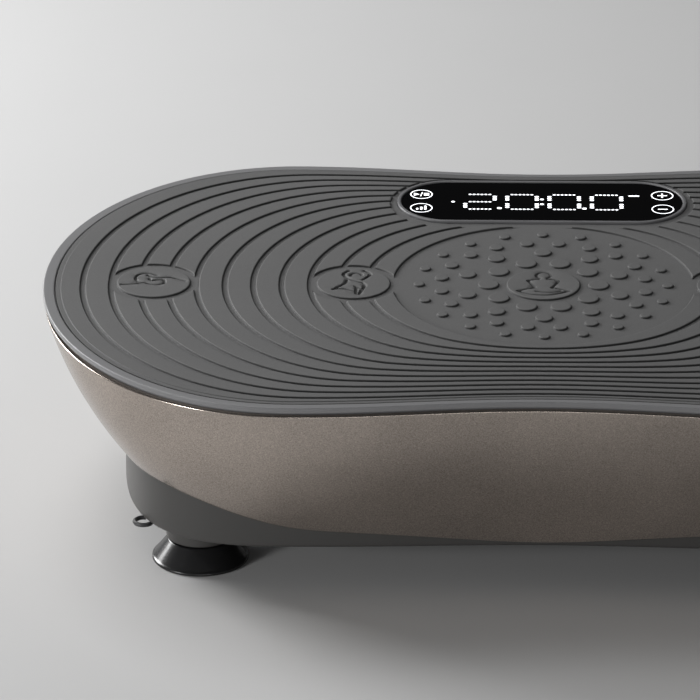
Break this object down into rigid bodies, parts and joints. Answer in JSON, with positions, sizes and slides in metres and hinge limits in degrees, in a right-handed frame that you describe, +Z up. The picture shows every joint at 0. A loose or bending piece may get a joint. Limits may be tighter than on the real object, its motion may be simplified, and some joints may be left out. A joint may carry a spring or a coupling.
{
  "type": "vibration plate",
  "caption": "Low oscillating exercise platform: a waisted standing deck with a ribbed mat and touch display rocks on a motor-driven base with suction feet.",
  "frame": {"origin": "on the floor under the middle of the deck, at the bottom of the feet", "axes": "+X along the deck's length towards the power socket end, -Y towards the side with the band loops, +Z up"},
  "size_m": [0.53, 0.314, 0.1227],
  "materials": {
    "deck": "fine satin",
    "mat": "matte with a fine grain",
    "display_trim": "satin",
    "display_lens": "polished black",
    "digits": "lit white",
    "shell": "champagne metallic paint with a fine sparkle",
    "base": "satin",
    "foot_rubber": "glossy rubber",
    "steel": "zinc plated",
    "bright_steel": "ground",
    "painted_steel": "black powder coat",
    "motor": "satin black",
    "cast_metal": "as cast",
    "belt": "matte",
    "board": "solder mask",
    "black_plastic": "fine texture",
    "aluminium": "extruded",
    "lead": "smooth insulation",
    "switch_red": "gloss"
  },
  "bodies": {
    "base": {"base_tray": "base", "foot_front_left": "foot_rubber", "foot_front_right": "foot_rubber", "foot_rear_left": "foot_rubber", "foot_rear_right": "foot_rubber", "foot_stud_front_left": "steel", "foot_stud_front_right": "steel", "foot_stud_rear_left": "steel", "foot_stud_rear_right": "steel", "band_loop_left": "painted_steel", "band_loop_right": "painted_steel", "chassis_plate": "steel", "pivot_bracket_front": "painted_steel", "pivot_bracket_rear": "painted_steel", "pivot_bearing_front": "bright_steel", "pivot_bearing_rear": "bright_steel", "motor_body": "motor", "motor_bracket": "painted_steel", "drive_belt": "belt", "crank_block_front": "painted_steel", "crank_block_rear": "painted_steel", "crank_bearing_front": "bright_steel", "crank_bearing_rear": "bright_steel", "control_board": "board", "heat_sink": "aluminium", "power_socket": "black_plastic", "switch_frame": "black_plastic", "motor_lead": "lead", "display_lead": "lead"},
    "platform": {"rocker_frame": "painted_steel", "pivot_pin_front": "bright_steel", "pivot_pin_rear": "bright_steel", "rod_pin": "bright_steel", "bumper_front_left": "foot_rubber", "bumper_front_right": "foot_rubber", "bumper_rear_left": "foot_rubber", "bumper_rear_right": "foot_rubber", "deck_plate": "deck", "tread_mat": "mat", "display_bezel": "display_trim", "display_lens": "display_lens", "display_board": "board", "digit_block": "digits", "display_cover": "black_plastic", "side_shell": "shell", "shell_screw_front_left": "steel", "shell_screw_front_right": "steel", "shell_screw_rear_left": "steel", "shell_screw_rear_right": "steel"},
    "motor_rotor": {"motor_shaft": "bright_steel", "motor_pulley": "aluminium"},
    "crank": {"crank_shaft": "bright_steel", "crank_pulley": "aluminium"},
    "rod": {"connecting_rod": "cast_metal", "rod_bearing": "bright_steel"},
    "switch": {"switch_rocker": "switch_red"}
  },
  "joints": [
    {"name": "deck_rock", "type": "hinge", "parent": "base", "child": "platform", "pos_m": [0, 0, 0.072], "axis": [0, 1, 0], "range_deg": [-1.6, 1.6]},
    {"name": "crank_spin", "type": "hinge", "parent": "base", "child": "crank", "pos_m": [0.09, 0, 0.06], "axis": [0, 1, 0], "continuous": true},
    {"name": "motor_spin", "type": "hinge", "parent": "base", "child": "motor_rotor", "pos_m": [-0.075, -0.056, 0.063], "axis": [0, 1, 0], "continuous": true},
    {"name": "rod_swing", "type": "hinge", "parent": "crank", "child": "rod", "pos_m": [0.0925, 0, 0.06], "axis": [0, 1, 0], "continuous": true},
    {"name": "switch_tip", "type": "hinge", "parent": "base", "child": "switch", "pos_m": [0.2177, 0.018, 0.038], "axis": [0, 0, 1], "range_deg": [0, 22]}
  ],
  "couplings": [
    {"joint": "motor_spin", "follows": "crank_spin", "ratio": 3},
    {"joint": "rod_swing", "follows": "crank_spin", "ratio": -1}
  ]
}
